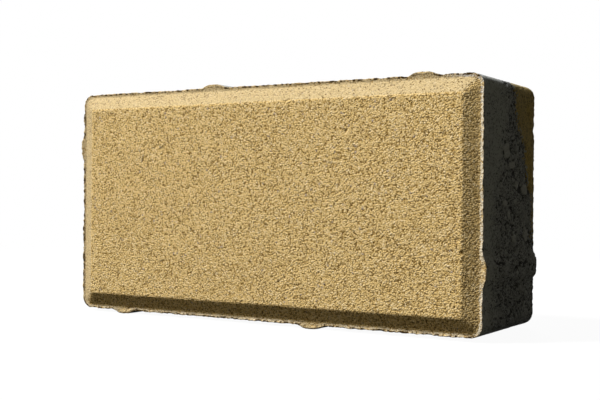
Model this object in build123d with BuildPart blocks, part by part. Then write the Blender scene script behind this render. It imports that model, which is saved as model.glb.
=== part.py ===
from build123d import *

import os

# Rectangular concrete paver, pressed in one piece, with a chamfered wearing face and spacer nibs.
# It stands on a long side: X runs along its length, Y through its thickness with the wearing face
# at -Y and the bed at +Y, and Z is up. The origin is on the floor, below the middle of the paver.

# Driving dimensions, in millimetres
length = 200.0  # body along X, without the nibs
height = 100.0  # body along Z as it stands, without the nibs
thickness = 60.0  # from the wearing face to the bed
corner_radius = 5.0  # the four corners of the outline
rim_width = 1.5  # flat strip that the edge of the press shoe leaves round the chamfer
chamfer_width = 6.0  # across the sloping border, seen from the front
chamfer_depth = 3.0  # how far the rim lies behind the wearing face
plateau_corner_radius = 1.0  # corners of the wearing face, where the chamfers meet
nib_height = 1.5  # how far a nib stands out of its side, half of a laid joint
nib_base = 12.0  # width of a nib where it leaves the side
nib_crest = 6.0  # width of a nib at its top, before it is blended
nib_blend_radius = 4.0  # rounding at the feet and at the crest of a nib
nib_shift = 25.0  # how far a nib stands clockwise of the middle of its share of the side
nibs_on_long_side = 2
nibs_on_end = 1

# Both planes face the front, so a sketch on them has X to the right and Z up.
rim_plane = Plane(
    origin=(0, chamfer_depth - thickness / 2, nib_height + height / 2),
    x_dir=(1, 0, 0),
    z_dir=(0, -1, 0),
)
wearing_plane = rim_plane.offset(chamfer_depth)


def outline_corners():
    """Corners of the mould's outline with their radii, clockwise as seen from the front."""
    sides = (
        (0, length, height, nibs_on_long_side),
        (-90, height, length, nibs_on_end),
        (180, length, height, nibs_on_long_side),
        (90, height, length, nibs_on_end),
    )
    points = []
    radii = []
    for turn, side, across, nibs in sides:
        corners = [(-side / 2, 0)]
        radii.append(corner_radius)
        share = side / nibs
        for index in range(nibs):
            nib_middle = (index + 0.5) * share - side / 2 + nib_shift
            corners += [
                (nib_middle - nib_base / 2, 0),
                (nib_middle - nib_crest / 2, nib_height),
                (nib_middle + nib_crest / 2, nib_height),
                (nib_middle + nib_base / 2, 0),
            ]
            radii += [nib_blend_radius] * 4
        points += [Vector(along, across / 2 + out).rotate(Axis.Z, turn) for along, out in corners]
    return points, radii


with BuildPart() as paver:
    # Body with its nibs, as the mould box forms them, from the rim back to the bed
    with BuildSketch(rim_plane):
        with BuildLine():
            corners, radii = outline_corners()
            FilletPolyline(*corners, radius=radii, close=True)
        make_face()
    extrude(amount=chamfer_depth - thickness)

    # Crown that the press shoe forms: mitred chamfers rise from the rim to the wearing face
    with BuildSketch(rim_plane):
        RectangleRounded(
            length - 2 * rim_width,
            height - 2 * rim_width,
            corner_radius - rim_width,
        )
    with BuildSketch(wearing_plane):
        RectangleRounded(
            length - 2 * (rim_width + chamfer_width),
            height - 2 * (rim_width + chamfer_width),
            plateau_corner_radius,
        )
    loft(ruled=True)
paver.part.label = "paver"

os.makedirs("parts", exist_ok=True)
export_step(paver.part, "parts/paver.step")
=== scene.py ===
from collections import namedtuple
from math import pi, radians

import bpy
import numpy as np
from bpy.props import FloatProperty, FloatVectorProperty, IntProperty, PointerProperty
from mathutils import Matrix, Vector


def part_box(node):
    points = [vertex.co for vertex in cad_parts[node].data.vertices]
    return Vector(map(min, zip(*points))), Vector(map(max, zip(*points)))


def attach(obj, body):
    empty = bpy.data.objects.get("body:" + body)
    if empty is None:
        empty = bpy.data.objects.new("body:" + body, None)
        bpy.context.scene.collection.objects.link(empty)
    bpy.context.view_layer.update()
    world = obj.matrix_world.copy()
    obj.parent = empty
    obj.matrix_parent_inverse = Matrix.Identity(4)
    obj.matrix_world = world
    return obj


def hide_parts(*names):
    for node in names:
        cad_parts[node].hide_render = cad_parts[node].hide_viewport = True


bl_info = {
    "name": "Rectangular concrete paver",
    "version": (1, 0, 0),
    "blender": (4, 5, 0),
    "location": "3D View > Sidebar > Paver",
    "description": "A pressed paving block with a sand-grained wearing face and open grey sides",
    "category": "Object",
}

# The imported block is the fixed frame: its box gives the outer sizes that everything here keeps to.
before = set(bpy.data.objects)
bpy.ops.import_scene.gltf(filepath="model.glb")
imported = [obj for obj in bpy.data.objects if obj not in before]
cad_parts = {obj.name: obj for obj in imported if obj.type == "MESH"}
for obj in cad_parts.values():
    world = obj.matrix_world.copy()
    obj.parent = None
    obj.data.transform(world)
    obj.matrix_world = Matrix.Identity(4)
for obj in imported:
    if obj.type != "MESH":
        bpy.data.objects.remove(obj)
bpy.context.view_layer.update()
LOWEST, HIGHEST = (Vector(corner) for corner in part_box("paver"))

MM = 0.001


def size(name, description, millimetres):
    """A length that is written in millimetres and kept in metres."""
    return FloatProperty(
        name=name, description=description, default=millimetres * MM, min=0.0, precision=5, unit="LENGTH"
    )


def share(name, description, default):
    """A part of a whole, from nothing to all of it."""
    return FloatProperty(
        name=name, description=description, default=default, min=0.0, max=1.0, subtype="FACTOR"
    )


def paint(name, description, default):
    """A colour in linear light."""
    return FloatVectorProperty(
        name=name, description=description, default=default, size=3, min=0.0, max=1.0, subtype="COLOR"
    )


def power(name, description, watts):
    """What a lamp gives."""
    return FloatProperty(name=name, description=description, default=watts, min=0.0, unit="POWER")


def angle(name, description, degrees):
    """An angle that is written in degrees and kept in radians."""
    return FloatProperty(name=name, description=description, default=radians(degrees), subtype="ANGLE")


class PaverForm(bpy.types.PropertyGroup):
    """What the mould box and the press shoe form."""

    corner_radius: size("Corner radius", "Rounding of the four corners of the outline", 5.0)
    rim_width: size("Rim width", "Flat strip round the chamfer", 1.5)
    chamfer_width: size("Chamfer width", "Sloping border, seen from the front", 6.0)
    chamfer_depth: size("Chamfer depth", "How far the rim lies behind the wearing face", 3.0)
    face_corner_radius: size("Face corner radius", "Rounding where two chamfers meet the face", 1.0)
    nib_height: size("Nib height", "How far a spacer nib stands out of its side", 1.5)
    nib_foot: size("Nib foot", "Width of a nib where its blend leaves the side", 13.9)
    nib_crest: size("Nib crest", "Width of the flat top of a nib", 4.1)
    nib_shift: size("Nib shift", "How far a nib stands clockwise of the middle of its share", 25.0)
    face_step: size("Face step", "Mesh spacing on the wearing face; the bed has twice that", 0.65)
    side_step: size("Side step", "Mesh spacing from the rim to the bed", 0.9)


class PaverRelief(bpy.types.PropertyGroup):
    """What the concrete's own grain does to the moulded form."""

    grain_size: size("Grain size", "Coarse sand grains of the facing", 1.5)
    grain_height: size("Grain height", "How deep the gaps between the grains are", 0.05)
    pit_share: share("Pit share", "Part of the coarse grains that fell out", 0.004)
    pit_depth: size("Pit depth", "Depth of the hole that a lost grain leaves", 0.3)
    burr_height: size("Burr height", "Ragged fin of paste along the outer edge of the rim", 1.0)
    chip_depth: size("Chip depth", "What is broken off the arrises", 0.8)
    stone_size: size("Stone size", "Largest stones in the backing", 6.0)
    pore_size: size("Pore size", "Gaps between the stones", 1.7)
    pore_depth: size("Pore depth", "Depth of those gaps", 0.7)
    seed: IntProperty(name="Seed", description="Another seed gives another block", default=4, min=0)


class PaverColours(bpy.types.PropertyGroup):
    """Colours of the facing mix, the rim and the backing concrete."""

    sand: paint("Sand", "Most of the grains", (0.77, 0.54, 0.215))
    pale_sand: paint("Pale sand", "The lightest common grains", (0.90, 0.72, 0.43))
    dark_sand: paint("Dark sand", "The darkest common grains", (0.36, 0.205, 0.045))
    lilac: paint("Lilac stone", "Scattered grey-violet grains", (0.47, 0.36, 0.245))
    # Painted shade: the dark brown put between the grains and in the holes and pits, where shade falls
    gap_shade: paint("Hollow", "Brown between the grains", (0.10, 0.048, 0.004))
    # Painted shade along the broken outer edge of the rim
    edge_shade: paint("Crevice", "Where the outer edge of the rim is broken", (0.056, 0.031, 0.008))
    # Partly paste, partly a painted tone for the strong key light on the upper and left chamfers
    border: paint("Border", "Paste that the shoe presses on to the chamfer", (0.47, 0.375, 0.22))
    # Partly pale paste, partly a painted highlight where the fin on the bottom and right rim catches the
    # light
    rim: paint("Rim", "Cement-rich paste of the rim", (0.66, 0.58, 0.435))
    rim_grey: paint("Rim grey", "Backing paste that was squeezed up to the rim", (0.52, 0.49, 0.44))
    skin: paint("Skin", "Smooth grey next to the facing", (0.36, 0.37, 0.355))
    backing: paint("Backing", "Mortar of the open grey concrete", (0.355, 0.36, 0.36))
    pebble: paint("Pebble", "Palest stones in the backing", (0.46, 0.46, 0.445))
    dark_stone: paint("Dark stone", "Darkest stones in the backing", (0.23, 0.232, 0.225))
    # Painted shade for the bottom of the gaps, pores and pinholes of the backing
    pore: paint("Pore", "Bottom of the gaps", (0.03, 0.029, 0.026))
    ochre: paint("Ochre", "Facing sand that lies in the backing", (0.44, 0.325, 0.105))
    # Painted shade in the gaps between the grains of the lens
    ochre_gap_shade: paint("Dark ochre", "Shaded grains of that sand", (0.23, 0.16, 0.042))


class PaverStage(bpy.types.PropertyGroup):
    """Floor, lamps and camera."""

    key_light: power("Key light", "Lamp above and left of the camera", 116.5)
    back_light: power("Back light", "Weak lamp behind the block", 10.0)
    sky: FloatProperty(name="Sky", description="Even light from all round", default=0.092, min=0.0)
    sky_tint: paint("Sky tint", "Colour of the even light", (1.0, 0.96, 0.76))
    shadow: share("Shadow", "How much of the floor's shadow the camera sees", 0.05)
    azimuth: angle("Azimuth", "Camera's turn round the block", 31.3431)
    tilt: angle("Tilt", "Camera's view above the horizon", -0.1126)
    roll: angle("Roll", "Camera's turn about its view", 0.4426)
    lens: FloatProperty(name="Lens", description="Focal length", default=61.807, min=1.0, unit="CAMERA")


# The moulded form
# Loops of points run clockwise as seen from the front, from the upper left corner of the wearing face.

FACE, CHAMFER, RIM, SIDE, BED = range(5)
Ring = namedtuple("Ring", "inset depth radius nib burr arris paste zone keep")
# Top, right end, bottom and left end. The fin of paste on the rim is uneven, and the shoe pressed
# more paste on to the upper and left chamfers, which are smoother and paler for it; that paler tone is partly
# painted, for the strong key light that falls on them.
BURR_BY_SIDE = (0.12, 0.7, 0.4, 0.45)
PASTE_AND_TONE_BY_SIDE = (1.0, 0.15, 0.0, 0.95)
# How white the rim is, partly pale paste and partly a painted highlight on the lit bottom and right rim, and
# how much of its broken outer edge is dark with painted shade
LIME_AND_HIGHLIGHT_BY_SIDE = (0.0, 1.0, 0.55, 0.1)
EDGE_SHADE_BY_SIDE = (1.0, 0.0, 1.0, 0.9)
# Loops that lie close to an arris, so that chips on it have points to move
ARRIS_ROWS = np.array((0.3, 0.8, 1.5)) * MM


def smooth_step(value):
    value = np.clip(value, 0.0, 1.0)
    return value * value * (3.0 - 2.0 * value)


def body_half(form):
    """Half the length and half the height of the body without its nibs."""
    extent = HIGHEST - LOWEST
    return extent.x / 2 - form.nib_height, extent.z / 2 - form.nib_height


def round_corners(across, up, half, radius):
    """Pulls points of a rectangle in, so that its corners follow a radius."""
    over = np.maximum(np.abs(across) - (half[0] - radius), 0.0)
    above = np.maximum(np.abs(up) - (half[1] - radius), 0.0)
    reach = np.hypot(over, above)
    pull = np.where(reach > 0.0, np.maximum(over, above) / np.maximum(reach, 1e-9), 1.0)
    across = np.sign(across) * (np.abs(across) - over * (1.0 - pull))
    up = np.sign(up) * (np.abs(up) - above * (1.0 - pull))
    return across, up


def nib_rise(form, along, half_side, nibs):
    """How far a side stands out at each place along it."""
    rise = np.zeros_like(along)
    piece = 2 * half_side / nibs
    for index in range(nibs):
        middle = (index + 0.5) * piece - half_side + form.nib_shift
        slope = (form.nib_foot / 2 - np.abs(along - middle)) / ((form.nib_foot - form.nib_crest) / 2)
        rise = np.maximum(rise, form.nib_height * smooth_step(slope))
    return rise


def even_steps(start, stop, step):
    count = max(1, round((stop - start) / step))
    return np.linspace(start, stop, count + 1)[1:]


def rings(form):
    """Every loop from the edge of the wearing face over the rim and the sides to the edge of the bed."""
    thickness = HIGHEST.y - LOWEST.y
    border = form.rim_width + form.chamfer_width
    foot_radius = form.corner_radius - form.rim_width
    made = []
    slope = np.hypot(form.chamfer_width, form.chamfer_depth)
    for way in even_steps(0.0, slope, form.face_step) / slope:
        radius = form.face_corner_radius + (foot_radius - form.face_corner_radius) * way
        made.append(Ring(border - form.chamfer_width * way, form.chamfer_depth * way, radius,
                         0.0, 0.0, 0.0, 1.0, CHAMFER, 1))
    for way in (0.2, 0.4, 0.6, 0.8, 1.0):
        inset = form.rim_width * (1.0 - way)
        burr = float(smooth_step((way - 0.3) / 0.5))
        arris = float(smooth_step((way - 0.5) / 0.5))
        radius = form.corner_radius - inset
        made.append(Ring(inset, form.chamfer_depth, radius, way, burr, arris, 1.0, RIM, 1))
    front = form.chamfer_depth + ARRIS_ROWS
    back = thickness - ARRIS_ROWS[::-1]
    between = even_steps(front[-1], back[0], form.side_step)[:-1]
    for depth in np.concatenate((front, between, back)):
        arris = near_arris(min(depth - form.chamfer_depth, thickness - depth))
        made.append(Ring(0.0, depth, form.corner_radius, 1.0, 0.0, arris, 0.0, SIDE, 2))
    for inset in (0.0, *ARRIS_ROWS, 2.6 * MM):
        radius = form.corner_radius - inset
        nib = 1.0 - inset / form.corner_radius
        made.append(Ring(inset, thickness, radius, nib, 0.0, near_arris(inset), 0.0, BED, 2))
    return made


def near_arris(distance):
    """1 on an arris, falling to nothing about two millimetres from it."""
    return float(np.exp(-(distance / MM) ** 2))


def border_columns(cells_across, cells_up):
    """The border of the face's grid as places from -1 to 1, with the side that each is on."""
    right = -1.0 + 2.0 * np.arange(cells_across) / cells_across
    up = -1.0 + 2.0 * np.arange(cells_up) / cells_up
    across = np.concatenate((right, np.ones(cells_up), -right, -np.ones(cells_up)))
    height = np.concatenate((np.ones(cells_across), -up, -np.ones(cells_across), up))
    side = np.repeat(np.arange(4), (cells_across, cells_up, cells_across, cells_up))
    return across, height, side


def ring_points(form, ring, across, height, side):
    """The points of one loop, and how far each stands on a nib."""
    body = body_half(form)
    half = (body[0] - ring.inset, body[1] - ring.inset)
    x, z = across * half[0], height * half[1]
    along = np.choose(side, (x, -z, -x, z))
    long_rise = nib_rise(form, along, body[0], 2)
    end_rise = nib_rise(form, along, body[1], 1)
    rise = np.where(side % 2 == 0, long_rise, end_rise)
    x, z = round_corners(x, z, half, ring.radius)
    x = x + ring.nib * rise * np.choose(side, (0, 1, 0, -1))
    z = z + ring.nib * rise * np.choose(side, (1, 0, -1, 0))
    y = np.full_like(x, LOWEST.y + ring.depth)
    return np.column_stack((x, y, z + (LOWEST.z + HIGHEST.z) / 2)), rise / form.nib_height


def clear_of_corners(form, points):
    """1 along the sides, falling to 0 in the corners of the outline."""
    half = body_half(form)
    to_end = half[0] - np.abs(points[:, 0])
    to_long_side = half[1] - np.abs(points[:, 2] - (LOWEST.z + HIGHEST.z) / 2)
    return smooth_step(np.maximum(to_end, to_long_side) / (2.0 * form.corner_radius))


def bridge(inner, inner_columns, outer, outer_columns, total):
    """Faces between two loops, where the outer one may have fewer columns."""
    faces = []
    at = {column: place for place, column in enumerate(inner_columns)}
    ends = list(outer_columns[1:]) + [total]
    for place, (first, last) in enumerate(zip(outer_columns, ends)):
        run = [inner[at[column % total]] for column in range(first, last + 1) if column % total in at]
        near, far = outer[place], outer[(place + 1) % len(outer)]
        if len(run) == 2:
            faces.append((run[0], run[1], far, near))
            continue
        middle = (len(run) - 1) // 2
        faces += [(run[i], run[i + 1], near) for i in range(middle)]
        faces.append((run[middle], far, near))
        faces += [(run[i], run[i + 1], far) for i in range(middle, len(run) - 1)]
    return faces


class Moulding:
    """Collects the points of the moulded form, what marks them, and its faces."""

    MARKS = ("zone", "inset", "burr", "arris", "paste", "lime_and_highlight", "edge_shade_amount")

    def __init__(self):
        self.points = []
        self.marks = {name: [] for name in self.MARKS}
        self.faces = []
        self.count = 0

    def add(self, points, **marks):
        """Adds points with their marks, and gives their numbers."""
        self.points.append(points)
        for name in self.MARKS:
            self.marks[name].append(np.broadcast_to(marks.get(name, 0.0), len(points)))
        self.count += len(points)
        return np.arange(self.count - len(points), self.count)

    def mesh(self, name):
        points = np.concatenate(self.points)
        marks = {mark: np.concatenate(values) for mark, values in self.marks.items()}
        marks["lens"] = sand_lens(points)
        marks["stone"] = nearness(points, STONES)
        marks["void"] = nearness(points, VOIDS)
        mesh = bpy.data.meshes.new(name)
        mesh.from_pydata(points.tolist(), [], self.faces)
        for mark, values in marks.items():
            attribute = mesh.attributes.new(mark, "FLOAT", "POINT")
            attribute.data.foreach_set("value", values)
        mesh.validate()
        return mesh


def plain_grid(moulding, half, cells, y, radius, random, **marks):
    """A grid over a rounded rectangle. Its inner points are shaken, so that no grain lines up with it."""
    columns, rows = np.meshgrid(np.arange(cells[0] + 1), np.arange(cells[1] + 1))
    inside = (columns > 0) & (columns < cells[0]) & (rows > 0) & (rows < cells[1])
    shake = random.uniform(-0.25, 0.25, (2,) + columns.shape) * inside
    x = ((columns + shake[0]) / cells[0] * 2.0 - 1.0) * half[0]
    z = ((rows + shake[1]) / cells[1] * 2.0 - 1.0) * half[1]
    x, z = round_corners(x, z, half, radius)
    z = z + (LOWEST.z + HIGHEST.z) / 2
    points = np.column_stack((x.ravel(), np.full(x.size, y), z.ravel()))
    return moulding.add(points, **marks).reshape(columns.shape)


def grid_faces(ids):
    """The squares of a grid, as seen from the front."""
    squares = np.stack((ids[:-1, :-1], ids[:-1, 1:], ids[1:, 1:], ids[1:, :-1]), axis=-1)
    return [tuple(square) for square in squares.reshape(-1, 4).tolist()]


def grid_border(ids):
    """The outer points of a grid, clockwise from the upper left."""
    return np.concatenate((ids[-1, :-1], ids[:0:-1, -1], ids[0, :0:-1], ids[:-1, 0])).tolist()


def moulded_mesh(form, seed):
    """The block as the mould leaves it, marked with the zones that the relief and the colours tell apart."""
    moulding = Moulding()
    random = np.random.default_rng(seed)
    body = np.array(body_half(form))
    border = form.rim_width + form.chamfer_width
    face_half = body - border
    face_cells = 4 * np.round(face_half / 2 / form.face_step).astype(int)
    face = plain_grid(moulding, face_half, face_cells, LOWEST.y, form.face_corner_radius, random,
                      zone=FACE, inset=border)
    moulding.faces += grid_faces(face)

    across, height, side = border_columns(*face_cells)
    total = len(side)
    every = np.arange(total)
    # A ring keeps every column, or every second one apart from those on the right end
    kept = {1: every, 2: every[(every % 2 == 0) | (side == 1)]}
    loop, loop_columns = grid_border(face), every.tolist()
    for ring in rings(form):
        pick = kept[ring.keep]
        points, on_nib = ring_points(form, ring, across[pick], height[pick], side[pick])
        clear = clear_of_corners(form, points)
        wrapped = ring.zone == SIDE and ring.depth < form.chamfer_depth + MM
        new_loop = moulding.add(
            points,
            zone=np.where(side[pick] != 1, RIM, SIDE) if wrapped else ring.zone,
            inset=ring.inset,
            burr=ring.burr * np.take(BURR_BY_SIDE, side[pick]) * clear,
            arris=ring.arris * (0.2 + 0.8 * clear) * (1.0 - 0.5 * on_nib),
            paste=ring.paste * np.take(PASTE_AND_TONE_BY_SIDE, side[pick]),
            lime_and_highlight=np.take(LIME_AND_HIGHLIGHT_BY_SIDE, side[pick]) * (1.0 - 0.8 * on_nib),
            edge_shade_amount=np.take(EDGE_SHADE_BY_SIDE, side[pick]) * (ring.zone == RIM) * (1.0 - 0.6 * on_nib),
        ).tolist()
        moulding.faces += bridge(loop, loop_columns, new_loop, pick.tolist(), total)
        loop, loop_columns = new_loop, pick.tolist()

    bed = plain_grid(moulding, body - form.corner_radius, face_cells // 2, HIGHEST.y, 0.5 * MM, random,
                     zone=BED, inset=form.corner_radius)
    moulding.faces += bridge(loop, loop_columns, grid_border(bed), every[::2].tolist(), total)
    moulding.faces += [square[::-1] for square in grid_faces(bed)]
    return moulding.mesh("paver_moulded")


# Where the right end lies without its nib, and how far round its corners its stones and voids reach
RIGHT_END = 100.0 * MM
END_REACH = 5.0 * MM
# Places on it are in millimetres, back from the rim and up from the middle of the block.
RIM_DEPTH = 3.0  # from the wearing face back to the rim
LENS_THINNING = 0.8  # how much further back the lens starts for each millimetre away from the end
# The lens of facing sand lies behind this line, given as height and depth.
LENS_EDGE = ((-20, 60), (-14, 55), (4, 55), (7, 50), (15, 48), (20, 45), (27, 42), (34, 36), (50, 32))
# Stones and voids have a depth, a height, and half their width each way.
STONES = (
    (24.4, 21.4, 3.8, 3.4), (30.4, 16.0, 4.6, 1.6), (45.0, 6.4, 3.8, 2.5), (36.0, 8.0, 2.0, 2.0),
    (27.3, -3.6, 1.8, 2.1), (47.3, -12.0, 3.3, 2.9), (33.2, -13.2, 2.5, 2.0), (23.0, 1.0, 3.0, 1.5),
)
VOIDS = (
    (32.3, 12.6, 2.2, 1.2), (39.4, 6.6, 1.8, 2.6), (50.7, 6.0, 2.2, 1.8), (47.3, 11.8, 1.2, 2.2),
    (36.5, -23.2, 1.3, 2.0), (29.4, -1.0, 1.8, 0.9),
)


def end_places(points):
    """Depth behind the rim and height above the middle, in millimetres."""
    depth = (points[:, 1] - LOWEST.y) / MM - RIM_DEPTH
    height = (points[:, 2] - (LOWEST.z + HIGHEST.z) / 2) / MM
    return depth, height


def sand_lens(points):
    """How far a point lies inside the lens of facing sand at the upper right of the bed, in metres."""
    depth, height = end_places(points)
    heights, depths = np.transpose(LENS_EDGE)
    inward = np.maximum(RIGHT_END - points[:, 0], 0.0) / MM
    return (depth - np.interp(height, heights, depths) - LENS_THINNING * inward) * MM


def nearness(points, ovals):
    """1 at the middle of the nearest oval on the right end, 0 at its edge and less outside."""
    depth, height = end_places(points)
    best = np.full(len(points), -1.0)
    for middle, level, half_depth, half_height in ovals:
        away = np.hypot((depth - middle) / half_depth, (height - level) / half_height)
        best = np.maximum(best, 1.0 - away)
    return np.where(points[:, 0] > RIGHT_END - END_REACH, best, -1.0)


# Nodes

class Bench:
    """Adds nodes to a shader or geometry tree and links them, so that a pattern reads as a formula."""

    def __init__(self, tree):
        self.tree = tree

    def node(self, kind, **settings):
        node = self.tree.nodes.new(kind)
        for name, value in settings.items():
            setattr(node, name, value)
        return node

    def feed(self, socket, value):
        if isinstance(value, bpy.types.NodeSocket):
            self.tree.links.new(value, socket)
        else:
            socket.default_value = value

    def fill(self, node, values):
        for name, value in values.items():
            self.feed(node.inputs[name], value)
        return node

    def math(self, operation, *values, clamp=False):
        node = self.node("ShaderNodeMath", operation=operation, use_clamp=clamp)
        for socket, value in zip(node.inputs, values):
            self.feed(socket, value)
        return node.outputs[0]

    def chain(self, operation, values):
        total = values[0]
        for value in values[1:]:
            total = self.math(operation, total, value)
        return total

    def add(self, *values):
        return self.chain("ADD", values)

    def times(self, *values):
        return self.chain("MULTIPLY", values)

    def either(self, *values):
        """The largest of some masks."""
        return self.chain("MAXIMUM", values)

    def but(self, mask):
        """Everywhere that a mask is not."""
        return self.math("SUBTRACT", 1.0, mask)

    def under(self, value, limit):
        return self.math("LESS_THAN", value, limit)

    def about(self, value, amount):
        """A number from 0 to 1 as a swing to both sides of nothing."""
        return self.times(amount, self.math("SUBTRACT", value, 0.5))

    def vector(self, operation, *values):
        node = self.node("ShaderNodeVectorMath", operation=operation)
        for socket, value in zip(node.inputs, values):
            self.feed(socket, value)
        return node.outputs["Vector"]

    def scaled(self, vector, factor):
        node = self.node("ShaderNodeVectorMath", operation="SCALE")
        self.fill(node, {0: vector, "Scale": factor})
        return node.outputs["Vector"]

    def split(self, vector):
        node = self.node("ShaderNodeSeparateXYZ")
        self.feed(node.inputs[0], vector)
        return node.outputs

    def ramp(self, value, start, stop, low=0.0, high=1.0):
        node = self.node("ShaderNodeMapRange", interpolation_type="SMOOTHSTEP")
        for socket, number in zip(node.inputs, (value, start, stop, low, high)):
            self.feed(socket, number)
        return node.outputs[0]

    def scale_for(self, length):
        if isinstance(length, bpy.types.NodeSocket):
            return self.math("DIVIDE", 1.0, length)
        return 1.0 / length

    def noise(self, place, length, seed=0.0, detail=2.0):
        node = self.node("ShaderNodeTexNoise", noise_dimensions="4D")
        self.fill(node, {"Vector": place, "W": seed, "Scale": self.scale_for(length), "Detail": detail})
        return node.outputs[0]

    def bent(self, place, length, amount):
        """A place that wanders, so that cells cut from it have uneven outlines."""
        node = self.node("ShaderNodeTexNoise")
        self.fill(node, {"Vector": place, "Scale": self.scale_for(length), "Detail": 2.0})
        sway = self.vector("SUBTRACT", node.outputs[1], (0.5, 0.5, 0.5))
        return self.vector("ADD", place, self.scaled(sway, amount))

    def cells(self, place, length):
        """Distance to the middle of the nearest grain, and three random numbers of that grain."""
        node = self.node("ShaderNodeTexVoronoi")
        self.fill(node, {"Vector": place, "Scale": self.scale_for(length)})
        return node.outputs["Distance"], *self.split(node.outputs["Color"])

    def cell_edge(self, place, length):
        """Distance to the edge of the grain."""
        node = self.node("ShaderNodeTexVoronoi", feature="DISTANCE_TO_EDGE")
        self.fill(node, {"Vector": place, "Scale": self.scale_for(length)})
        return node.outputs["Distance"]

    def mix(self, amount, colour_a, colour_b):
        node = self.node("ShaderNodeMix", data_type="RGBA")
        for index, value in ((0, amount), (6, rgba(colour_a)), (7, rgba(colour_b))):
            self.feed(node.inputs[index], value)
        return node.outputs[2]


def rgba(colour):
    if isinstance(colour, bpy.types.NodeSocket):
        return colour
    return (*colour, 1.0)


RELIEF_FLOATS = (
    "Grain size", "Grain height", "Pit share", "Pit depth", "Burr height",
    "Chip depth", "Stone size", "Pore size", "Pore depth", "Seed",
)


def open_concrete(bench, place, seed, stone_size, pore_size, opened, placed_stone, placed_void):
    """Stones, their tone and the gaps of the open concrete: the same for its relief and for its colours."""
    among_stones = bench.scaled(place, bench.scale_for(stone_size))
    among_pores = bench.scaled(place, bench.scale_for(pore_size))
    uneven = bench.bent(among_stones, 0.3, 0.45)
    _, big_tone, big_pick, _ = bench.cells(uneven, 1.0)
    big = bench.times(bench.under(big_pick, 0.25), bench.ramp(bench.cell_edge(uneven, 1.0), 0.05, 0.12))
    _, small_tone, small_pick, _ = bench.cells(uneven, 0.45)
    small = bench.times(bench.under(small_pick, 0.4), bench.ramp(bench.cell_edge(uneven, 0.45), 0.06, 0.16))
    ragged = bench.about(bench.noise(among_pores, 1.3, seed), 1.1)
    placed = bench.ramp(bench.add(placed_stone, ragged), 0.0, 0.15)
    stone = bench.either(bench.times(0.6, bench.either(big, small), opened), placed)
    tone = bench.add(bench.times(big, big_tone), bench.times(bench.but(big), small_tone))
    tone = bench.either(tone, bench.times(0.85, placed))

    level = bench.add(
        bench.noise(among_pores, 1.0, seed, 3.0),
        bench.about(bench.noise(among_pores, 9.0, seed, 1.0), 0.3),
        bench.times(0.11, opened),
        bench.times(0.1, bench.ramp(placed_stone, -0.6, -0.05)),
    )
    pore = bench.times(bench.ramp(level, 0.65, 0.7), bench.but(stone))
    pore = bench.either(pore, bench.ramp(bench.add(placed_void, ragged), 0.0, 0.2))
    return stone, tone, pore


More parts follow.
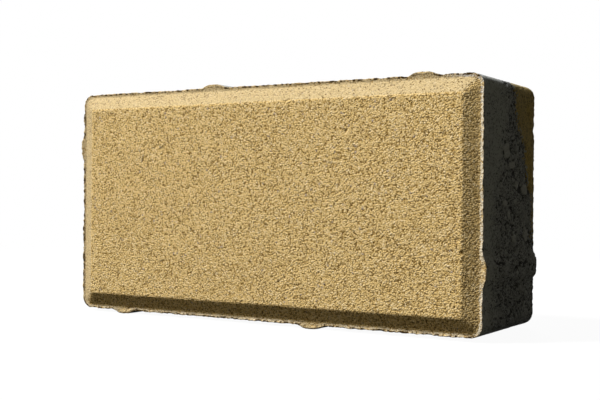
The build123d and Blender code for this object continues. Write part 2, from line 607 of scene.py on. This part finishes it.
def relief_tree(facing, backing):
    """Geometry Nodes that give the moulded form its grain, pits, burr, chips and pores."""
    tree = bpy.data.node_groups.new("paver_relief", "GeometryNodeTree")
    tree.interface.new_socket("Geometry", in_out="INPUT", socket_type="NodeSocketGeometry")
    for name in RELIEF_FLOATS:
        tree.interface.new_socket(name, in_out="INPUT", socket_type="NodeSocketFloat")
    for name in ("Lowest corner", "Highest corner"):
        tree.interface.new_socket(name, in_out="INPUT", socket_type="NodeSocketVector")
    tree.interface.new_socket("Geometry", in_out="OUTPUT", socket_type="NodeSocketGeometry")

    bench = Bench(tree)
    given = bench.node("NodeGroupInput").outputs

    def attribute(name):
        node = bench.node("GeometryNodeInputNamedAttribute", data_type="FLOAT")
        node.inputs["Name"].default_value = name
        return node.outputs["Attribute"]

    def store(geometry, name, value, data_type="FLOAT"):
        node = bench.node("GeometryNodeStoreNamedAttribute", data_type=data_type, domain="POINT")
        bench.fill(node, {"Geometry": geometry, "Name": name, "Value": value})
        return node.outputs["Geometry"]

    place = bench.node("GeometryNodeInputPosition").outputs[0]
    normal = bench.node("GeometryNodeInputNormal").outputs[0]
    zone = attribute("zone")
    seed = given["Seed"]
    x, y, z = bench.split(place)
    grey = bench.ramp(zone, RIM + 0.4, RIM + 0.6)
    sand = bench.but(grey)
    on_bed = bench.ramp(zone, SIDE + 0.4, SIDE + 0.6)

    # Sand facing: rounded grains of uneven height, and holes where a grain fell out
    distance, lift, lost, _ = bench.cells(place, given["Grain size"])
    low = bench.add(bench.times(0.5, bench.ramp(distance, 0.1, 0.75)), bench.times(0.5, lift))
    swell = bench.noise(place, 9.0 * MM, seed, 1.0)
    press = bench.but(bench.times(0.7, attribute("paste")))
    grains = bench.times(given["Grain height"], bench.add(bench.times(low, press), bench.times(0.5, swell)))
    is_lost = bench.under(lost, bench.times(given["Pit share"], press))
    pit = bench.times(is_lost, bench.ramp(distance, 0.7, 0.25))
    sand_drop = bench.times(sand, bench.add(grains, bench.times(given["Pit depth"], pit)))

    # Grey sides: a smooth skin behind the rim, then open concrete with stones and gaps
    depth = bench.math("SUBTRACT", y, LOWEST.y)
    on_right_end = bench.ramp(x, 94.0 * MM, 99.0 * MM)
    right_skin = bench.ramp(z, 50.0 * MM, 78.0 * MM, 13.0 * MM, 25.0 * MM)
    other_skin = bench.ramp(bench.noise(place, 38.0 * MM, seed, 1.0), 0.3, 0.7, 6.0 * MM, 40.0 * MM)
    uneven = bench.about(bench.noise(place, 12.0 * MM, seed, 3.0), 16.0 * MM)
    skin_width = bench.add(
        bench.times(on_right_end, right_skin), bench.times(bench.but(on_right_end), other_skin), uneven
    )
    past_skin = bench.math("SUBTRACT", depth, skin_width)
    lens = bench.add(attribute("lens"), bench.about(bench.noise(place, 9.0 * MM, seed, 4.0), 11.0 * MM))
    in_lens = bench.ramp(lens, -0.4 * MM, 0.4 * MM)
    closed_below = bench.ramp(bench.split(normal)[2], -0.9, -0.4, 0.3, 1.0)
    opened = bench.times(bench.ramp(past_skin, -7.0 * MM, 10.0 * MM), bench.but(in_lens), closed_below)
    stone, _, pore = open_concrete(
        bench, place, seed, given["Stone size"], given["Pore size"], opened,
        attribute("stone"), attribute("void"),
    )
    rough = bench.about(bench.noise(place, 4.0 * MM, seed, 3.0), bench.add(0.25, bench.times(0.6, opened)))
    proud = bench.times(0.2, stone)
    gaps = bench.times(pore, bench.but(bench.times(0.6, on_bed)))
    grey_drop = bench.times(grey, given["Pore depth"], bench.math("SUBTRACT", bench.add(gaps, rough), proud))

    # Arrises: a ragged fin of paste along the rim, and chips. The small step outwards among the chips
    # keeps the arris in its place on the whole.
    ragged = bench.ramp(bench.noise(place, 5.0 * MM, bench.add(seed, 3.0), 4.0), 0.4, 0.62, 0.0, 0.7)
    crumbs = bench.ramp(bench.noise(place, 1.3 * MM, bench.add(seed, 4.0), 1.0), 0.35, 0.7, 0.0, 0.7)
    burr = bench.times(attribute("burr"), given["Burr height"], bench.add(ragged, crumbs))
    chip = bench.ramp(bench.noise(place, 4.0 * MM, bench.add(seed, 5.0), 5.0), 0.52, 0.75)
    flake = bench.times(0.35, bench.ramp(bench.noise(place, 1.2 * MM, bench.add(seed, 6.0), 1.0), 0.4, 0.6))
    chips = bench.times(attribute("arris"), given["Chip depth"], bench.add(chip, flake, -0.2))

    inward = bench.math("MULTIPLY", bench.add(sand_drop, grey_drop, chips), -1.0)
    fin = bench.node("ShaderNodeCombineXYZ")
    bench.feed(fin.inputs[1], bench.math("MULTIPLY", burr, -1.0))
    target = bench.vector("ADD", place, bench.scaled(normal, inward))
    target = bench.vector("ADD", target, fin.outputs[0])
    target = bench.vector("MAXIMUM", target, given["Lowest corner"])
    target = bench.vector("MINIMUM", target, given["Highest corner"])

    geometry = store(given["Geometry"], "rest", place, "FLOAT_VECTOR")
    geometry = store(geometry, "pit", pit)
    geometry = store(geometry, "opened", opened)
    geometry = store(geometry, "lens", lens)
    placed = bench.fill(bench.node("GeometryNodeSetPosition"), {"Geometry": geometry, "Position": target})
    smooth = bench.fill(bench.node("GeometryNodeSetShadeSmooth"), {"Geometry": placed.outputs[0]})
    real = bench.fill(bench.node("GeometryNodeRealizeInstances"), {"Geometry": smooth.outputs[0]})
    all_sand = bench.node("GeometryNodeSetMaterial")
    bench.fill(all_sand, {"Geometry": real.outputs[0], "Material": facing})
    both = bench.node("GeometryNodeSetMaterial")
    is_grey = bench.math("GREATER_THAN", zone, RIM + 0.4)
    bench.fill(both, {"Geometry": all_sand.outputs[0], "Selection": is_grey, "Material": backing})
    bench.feed(bench.node("NodeGroupOutput").inputs[0], both.outputs[0])
    return tree


def new_group(name, inputs, outputs):
    """A shader node group with its sockets and a bench to fill it."""
    group = bpy.data.node_groups.new(name, "ShaderNodeTree")
    for socket, kind in inputs:
        group.interface.new_socket(socket, in_out="INPUT", socket_type=kind)
    for socket, kind in outputs:
        group.interface.new_socket(socket, in_out="OUTPUT", socket_type=kind)
    bench = Bench(group)
    return group, bench, bench.node("NodeGroupInput").outputs, bench.node("NodeGroupOutput").inputs


def grain_group():
    """Packed grains: their tone, a number to pick rare ones by, and their height from 0 to 1."""
    group, bench, given, made = new_group(
        "sand_grain",
        (("Position", "NodeSocketVector"), ("Size", "NodeSocketFloat")),
        (("Tone", "NodeSocketFloat"), ("Pick", "NodeSocketFloat"), ("Height", "NodeSocketFloat")),
    )
    distance, tone, pick, _ = bench.cells(given["Position"], given["Size"])
    dome = bench.ramp(distance, 0.75, 0.2)
    grit = bench.noise(given["Position"], bench.times(0.6, given["Size"]), 7.0)
    bench.feed(made["Tone"], tone)
    bench.feed(made["Pick"], pick)
    bench.feed(made["Height"], bench.add(bench.times(0.35, dome), bench.times(0.65, grit)))
    return group


def pinhole_group():
    """Small holes of uneven size: how far a place lies inside one."""
    group, bench, given, made = new_group(
        "pinhole",
        (("Position", "NodeSocketVector"), ("Size", "NodeSocketFloat"), ("Share", "NodeSocketFloat")),
        (("Hole", "NodeSocketFloat"),),
    )
    place = bench.bent(given["Position"], given["Size"], bench.times(0.8, given["Size"]))
    distance, wide, lost, _ = bench.cells(place, given["Size"])
    edge = bench.add(0.35, bench.times(0.35, wide))
    inside = bench.ramp(bench.math("SUBTRACT", edge, distance), 0.0, 0.22)
    bench.feed(made["Hole"], bench.times(inside, bench.under(lost, given["Share"])))
    return group


def mottle_group():
    """Slow clouds of tone, as patches of mix that were wetter or drier in the press."""
    group, bench, given, made = new_group(
        "mottle",
        (("Position", "NodeSocketVector"), ("Size", "NodeSocketFloat")),
        (("Cloud", "NodeSocketFloat"),),
    )
    cloud = bench.noise(given["Position"], given["Size"], 2.0, 3.0)
    bench.feed(made["Cloud"], bench.ramp(cloud, 0.3, 0.7))
    return group


def new_material(name):
    material = bpy.data.materials.new(name)
    material.use_nodes = True
    material.node_tree.nodes.clear()
    bench = Bench(material.node_tree)
    return material, bench


def use_group(bench, group, **values):
    node = bench.node("ShaderNodeGroup", node_tree=group)
    bench.fill(node, {name.capitalize(): value for name, value in values.items()})
    return node.outputs


def finish_concrete(bench, colour, roughness, height):
    """The shader itself: dull, with the last of the grain as bump."""
    bump = bench.fill(bench.node("ShaderNodeBump"), {"Height": height, "Distance": 1.0, "Strength": 1.0})
    shader = bench.node("ShaderNodeBsdfPrincipled")
    bench.fill(shader, {"Base Color": colour, "Roughness": roughness, "Normal": bump.outputs[0]})
    shader.inputs["Specular IOR Level"].default_value = 0.03
    output = bench.node("ShaderNodeOutputMaterial")
    bench.feed(output.inputs["Surface"], shader.outputs[0])


def surface_mark(bench, name, output="Fac"):
    """A value that the mesh carries."""
    return bench.node("ShaderNodeAttribute", attribute_name=name).outputs[output]


def sand_facing(colours, grain, pinhole, mottle):
    """Ochre sand grains in cement, closed by paste on some of the border and cream to grey on the rim.
    Painted shade darkens the gaps, holes and pits and the broken outer edge of the rim; painted highlight
    pales the grain tops and the lit rim, and the border tone is partly painted for the key light on the upper
    and left chamfers.
    """
    material, bench = new_material("sand_facing")
    rest = surface_mark(bench, "rest", "Vector")
    paste = surface_mark(bench, "paste")
    lost = bench.times(0.5, surface_mark(bench, "pit"))
    coarse = use_group(bench, grain, position=rest, size=0.75 * MM)
    fine = use_group(bench, grain, position=rest, size=0.45 * MM)
    crowd = use_group(bench, mottle, position=rest, size=9.0 * MM)["Cloud"]
    open_grain = bench.but(bench.times(0.25, paste))
    holes = bench.times(open_grain, bench.add(0.17, bench.times(0.12, crowd)))
    hole = use_group(bench, pinhole, position=rest, size=0.55 * MM, share=holes)["Hole"]

    tone = bench.add(bench.times(0.35, coarse["Tone"]), bench.times(0.65, fine["Tone"]))
    colour = bench.mix(bench.ramp(tone, 0.0, 0.35), colours.dark_sand, colours.sand)
    colour = bench.mix(bench.ramp(tone, 0.55, 1.0), colour, colours.pale_sand)
    # Painted shade and highlight by grain height: the lower parts of the grains darker and the gaps between
    # them dark brown, where shade falls, and the grain tops paler, where light falls
    colour = bench.mix(bench.times(0.25, bench.ramp(coarse["Height"], 0.46, 0.34)), colour, colours.dark_sand)
    shaded_gap = bench.ramp(coarse["Height"], 0.36, 0.28)
    colour = bench.mix(bench.times(0.82, shaded_gap), colour, colours.gap_shade)
    colour = bench.mix(bench.times(0.22, bench.ramp(coarse["Height"], 0.5, 0.66)), colour, colours.pale_sand)
    colour = bench.mix(bench.under(coarse["Pick"], 0.006), colour, colours.lilac)
    # Border paste, partly a painted tone for the strong key light on the upper and left chamfers
    colour = bench.mix(bench.times(0.65, paste), colour, colours.border)
    # Painted shade in the pinholes and in the pits of lost grains
    colour = bench.mix(bench.times(0.82, bench.either(hole, lost)), colour, colours.gap_shade)

    # Rim: paste with a ragged inner edge, grey where the backing was squeezed up to it
    x, _, z = bench.split(rest)
    inset = surface_mark(bench, "inset")
    ragged = bench.about(bench.noise(rest, 1.6 * MM, 5.0, 3.0), 2.0 * MM)
    on_rim = bench.ramp(bench.add(inset, ragged), 1.8 * MM, 1.2 * MM)
    corner = bench.times(bench.ramp(x, 80.0 * MM, 97.0 * MM), bench.ramp(z, 84.0 * MM, 98.0 * MM))
    patch = bench.noise(rest, 3.0 * MM, 3.0, 4.0)
    outer = bench.ramp(bench.add(inset, bench.times(0.5, ragged)), 1.8 * MM, 1.2 * MM)
    # Pale paste on the rim, partly a painted highlight on the lit bottom and right rim
    pale_patches = bench.ramp(bench.add(patch, bench.about(coarse["Tone"], 0.35)), 0.25, 0.45)
    white = bench.times(surface_mark(bench, "lime_and_highlight"), outer, pale_patches)
    rim_colour = bench.mix(0.4, colour, colours.border)
    rim_colour = bench.mix(white, rim_colour, colours.rim)
    rim_colour = bench.mix(bench.times(corner, bench.ramp(patch, 0.4, 0.6)), rim_colour, colours.rim_grey)
    # Painted shade in the gaps between the grains of the rim
    rim_colour = bench.mix(bench.times(0.8, shaded_gap), rim_colour, colours.dark_sand)
    colour = bench.mix(on_rim, colour, rim_colour)
    # Painted shade in broken dashes along the outer edge of the rim, where the fin and the turned edge lie in
    # shade
    breaks = bench.ramp(bench.noise(rest, 1.3 * MM, 6.0, 2.0), 0.47, 0.53)
    at_edge = bench.ramp(bench.add(inset, bench.times(0.4, ragged)), 0.95 * MM, 0.6 * MM)
    broken = bench.times(surface_mark(bench, "edge_shade_amount"), breaks, at_edge)
    colour = bench.mix(broken, colour, colours.edge_shade)

    roughness = bench.ramp(tone, 0.0, 1.0, 0.95, 0.82)
    height = bench.times(0.36 * MM, coarse["Height"])
    height = bench.math("SUBTRACT", height, bench.times(0.2 * MM, bench.either(hole, lost)))
    finish_concrete(bench, colour, roughness, bench.times(height, open_grain))
    return material


def grey_backing(colours, relief, grain, pinhole, mottle):
    """Grey concrete: a smooth skin, open stony parts, and a lens of facing sand that was pressed in, with
    painted shade in its pores, pinholes and the gaps between its grains.
    """
    material, bench = new_material("grey_backing")
    rest = surface_mark(bench, "rest", "Vector")
    opened = surface_mark(bench, "opened")
    stone, stone_tone, pore = open_concrete(
        bench, rest, float(relief.seed), relief.stone_size, relief.pore_size, opened,
        surface_mark(bench, "stone"), surface_mark(bench, "void"),
    )
    sand = use_group(bench, grain, position=rest, size=0.8 * MM)
    cloud = use_group(bench, mottle, position=rest, size=16.0 * MM)["Cloud"]
    ragged = bench.about(bench.noise(rest, 3.0 * MM, 4.0, 4.0), 6.0 * MM)
    grit = bench.about(sand["Tone"], 5.0 * MM)
    in_lens = bench.ramp(bench.add(surface_mark(bench, "lens"), ragged, grit), -0.5 * MM, 0.5 * MM)
    holes = bench.add(0.12, bench.times(0.62, opened), bench.times(0.2, cloud))
    holes = bench.times(holes, bench.but(bench.times(0.5, in_lens)))
    hole = use_group(bench, pinhole, position=rest, size=0.6 * MM, share=holes)["Hole"]
    hole = bench.times(hole, bench.but(bench.times(0.8, stone)))

    skin = bench.mix(bench.times(0.35, cloud), colours.skin, colours.backing)
    colour = bench.mix(opened, skin, colours.backing)
    rock = bench.mix(bench.ramp(stone_tone, 0.1, 0.9), colours.dark_stone, colours.pebble)
    colour = bench.mix(bench.times(0.5, stone), colour, rock)
    # Painted shade in the gaps between the sand grains
    shaded_gap = bench.times(bench.ramp(sand["Height"], 0.42, 0.3), bench.add(0.25, bench.times(0.6, opened)))
    colour = bench.mix(bench.times(shaded_gap, bench.but(bench.times(0.7, stone))), colour, colours.pore)
    # Painted shade in the gaps between the grains of the lens
    ochre = bench.mix(bench.ramp(sand["Height"], 0.5, 0.3), colours.ochre, colours.ochre_gap_shade)
    ochre = bench.mix(bench.times(0.2, cloud), ochre, colours.backing)
    colour = bench.mix(in_lens, colour, ochre)
    on_bed = bench.ramp(surface_mark(bench, "zone"), SIDE + 0.4, SIDE + 0.6)
    # Painted shade in the pores and pinholes, weaker on the bed
    shade = bench.ramp(on_bed, 0.0, 1.0, 0.9, 0.6)
    dark_pore = bench.times(pore, bench.but(bench.times(0.8, in_lens)), shade)
    dark = bench.either(dark_pore, bench.times(0.8, hole))
    colour = bench.mix(dark, colour, colours.pore)

    roughness = bench.ramp(sand["Tone"], 0.0, 1.0, 0.95, 0.85)
    height = bench.add(bench.times(0.12 * MM, sand["Height"]), bench.times(0.1 * MM, stone))
    height = bench.math("SUBTRACT", height, bench.times(0.25 * MM, bench.either(pore, hole)))
    finish_concrete(bench, colour, roughness, height)
    return material


def from_modifier(piece, mesh_name):
    """Turns what a piece's modifiers show into its own plain mesh."""
    graph = bpy.context.evaluated_depsgraph_get()
    mesh = bpy.data.meshes.new_from_object(piece.evaluated_get(graph))
    mesh.name = mesh_name
    piece.modifiers.clear()
    piece.data = mesh


class PAVER_OT_press_block(bpy.types.Operator):
    """Press the block: mould its form, give it the grain of its concrete and colour it"""

    bl_idname = "paver.press_block"
    bl_label = "Press block"

    def execute(self, context):
        scene = context.scene
        relief = scene.paver_relief
        colours = scene.paver_colours
        grain = grain_group()
        mottle = mottle_group()
        pinhole = pinhole_group()
        facing = sand_facing(colours, grain, pinhole, mottle)
        backing = grey_backing(colours, relief, grain, pinhole, mottle)
        mesh = moulded_mesh(scene.paver_form, relief.seed)
        block = bpy.data.objects.new("pressed_block", mesh)
        scene.collection.objects.link(block)

        tree = relief_tree(facing, backing)
        values = {
            "Grain size": relief.grain_size, "Grain height": relief.grain_height,
            "Pit share": relief.pit_share, "Pit depth": relief.pit_depth,
            "Burr height": relief.burr_height, "Chip depth": relief.chip_depth,
            "Stone size": relief.stone_size, "Pore size": relief.pore_size, "Pore depth": relief.pore_depth,
            "Seed": float(relief.seed), "Lowest corner": LOWEST, "Highest corner": HIGHEST,
        }
        modifier = block.modifiers.new("relief", "NODES")
        modifier.node_group = tree
        for item in tree.interface.items_tree:
            if item.in_out == "INPUT" and item.name in values:
                modifier[item.identifier] = values[item.name]
        from_modifier(block, "pressed_block")
        bpy.data.meshes.remove(mesh)
        if len(block.data.polygons) == 0:
            raise RuntimeError("the relief left no faces")

        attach(block, "root")
        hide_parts("paver")
        return {"FINISHED"}


# Where the lamps stand from the middle of the wearing face, and where the camera stands
KEY_LAMP = 2.4 * Vector((-0.45, -0.405, 0.822))
KEY_LAMP_WIDTH = 0.45
BACK_LAMP = Vector((-0.35, 0.95, 0.3))
BACK_LAMP_WIDTH = 0.5
CAMERA_PLACE = (0.24137, -0.39084, 0.05383)


class PAVER_OT_set_stage(bpy.types.Operator):
    """Set the stage: a white floor and surround, two lamps and the camera"""

    bl_idname = "paver.set_stage"
    bl_label = "Set stage"

    def execute(self, context):
        scene = context.scene
        stage = scene.paver_stage
        scene.view_settings.view_transform = "Standard"
        white_surround(scene, stage)
        white_floor(scene, stage)
        aim = Vector((0.0, LOWEST.y, (LOWEST.z + HIGHEST.z) / 2))
        add_lamp(scene, "key_lamp", stage.key_light, KEY_LAMP_WIDTH, aim + KEY_LAMP, aim)
        add_lamp(scene, "back_lamp", stage.back_light, BACK_LAMP_WIDTH, aim + BACK_LAMP, aim)
        add_camera(scene, stage)
        return {"FINISHED"}


def seen_directly(bench):
    """1 for rays that show a surface to the camera, straight or by a mirror or glass."""
    path = bench.node("ShaderNodeLightPath").outputs
    seen = bench.add(path["Is Camera Ray"], path["Is Glossy Ray"])
    return bench.math("ADD", seen, path["Is Transmission Ray"], clamp=True)


def white_surround(scene, stage):
    world = bpy.data.worlds.new("white_surround")
    world.use_nodes = True
    world.node_tree.nodes.clear()
    bench = Bench(world.node_tree)
    seen = seen_directly(bench)
    light = bench.node("ShaderNodeBackground")
    strength = bench.add(bench.times(seen, 1.0 - stage.sky), stage.sky)
    tint = bench.mix(seen, stage.sky_tint, (1.0, 1.0, 1.0))
    bench.fill(light, {"Color": tint, "Strength": strength})
    output = bench.node("ShaderNodeOutputWorld")
    bench.feed(output.inputs["Surface"], light.outputs[0])
    scene.world = world


def white_floor(scene, stage):
    """A floor that looks white, keeps the block's shadow and throws little light back."""
    half = 3.0
    mesh = bpy.data.meshes.new("floor")
    corners = [(-half, -half, 0.0), (half, -half, 0.0), (half, half, 0.0), (-half, half, 0.0)]
    mesh.from_pydata(corners, [], [(0, 1, 2, 3)])
    floor = bpy.data.objects.new("floor", mesh)
    scene.collection.objects.link(floor)
    material, bench = new_material("white_floor")
    place = bench.node("ShaderNodeTexCoord").outputs["Object"]
    away = bench.node("ShaderNodeVectorMath", operation="LENGTH")
    bench.feed(away.inputs[0], place)
    near_block = bench.ramp(away.outputs["Value"], 0.7, 0.3)
    glow = bench.node("ShaderNodeEmission")
    matt = bench.node("ShaderNodeBsdfDiffuse")
    matt.inputs["Color"].default_value = (0.9, 0.9, 0.9, 1.0)
    dim = bench.node("ShaderNodeBsdfDiffuse")
    dim.inputs["Color"].default_value = (0.04, 0.037, 0.026, 1.0)
    shadow = bench.times(stage.shadow, near_block)
    shown = bench.fill(bench.node("ShaderNodeMixShader"), {0: shadow, 1: glow.outputs[0], 2: matt.outputs[0]})
    seen = seen_directly(bench)
    both = bench.fill(bench.node("ShaderNodeMixShader"), {0: seen, 1: dim.outputs[0], 2: shown.outputs[0]})
    output = bench.node("ShaderNodeOutputMaterial")
    bench.feed(output.inputs["Surface"], both.outputs[0])
    mesh.materials.append(material)


def add_lamp(scene, name, power, width, place, aim):
    light = bpy.data.lights.new(name, "AREA")
    light.shape = "DISK"
    light.size = width
    light.energy = power
    lamp = bpy.data.objects.new(name, light)
    lamp.location = place
    lamp.rotation_euler = (aim - place).to_track_quat("-Z", "Y").to_euler()
    scene.collection.objects.link(lamp)


def add_camera(scene, stage):
    data = bpy.data.cameras.new("camera")
    data.sensor_width = 36.0
    data.lens = stage.lens
    data.clip_start = 0.01
    camera = bpy.data.objects.new("camera", data)
    turn = Matrix.Rotation(stage.azimuth, 4, "Z") @ Matrix.Rotation(pi / 2 + stage.tilt, 4, "X")
    turn = turn @ Matrix.Rotation(stage.roll, 4, "Z")
    camera.matrix_world = Matrix.Translation(CAMERA_PLACE) @ turn
    scene.collection.objects.link(camera)
    scene.camera = camera


class VIEW3D_PT_paver(bpy.types.Panel):
    """Sizes, colours and steps of the paver"""

    bl_label = "Paver"
    bl_space_type = "VIEW_3D"
    bl_region_type = "UI"
    bl_category = "Paver"

    def draw(self, context):
        layout = self.layout
        for group in SETTINGS:
            box = layout.box()
            box.label(text=group.removeprefix("paver_").capitalize())
            settings = getattr(context.scene, group)
            for name in settings.__annotations__:
                box.prop(settings, name)
        for operator in OPERATORS:
            layout.operator(operator.bl_idname)


SETTINGS = {
    "paver_form": PaverForm,
    "paver_relief": PaverRelief,
    "paver_colours": PaverColours,
    "paver_stage": PaverStage,
}
OPERATORS = (PAVER_OT_press_block, PAVER_OT_set_stage)
CLASSES = (*SETTINGS.values(), *OPERATORS, VIEW3D_PT_paver)


def register():
    for each in CLASSES:
        bpy.utils.register_class(each)
    for name, group in SETTINGS.items():
        setattr(bpy.types.Scene, name, PointerProperty(type=group))


def unregister():
    for name in SETTINGS:
        delattr(bpy.types.Scene, name)
    for each in reversed(CLASSES):
        bpy.utils.unregister_class(each)


def main():
    register()
    bpy.ops.paver.press_block()
    bpy.ops.paver.set_stage()


if __name__ == "__main__":
    main()
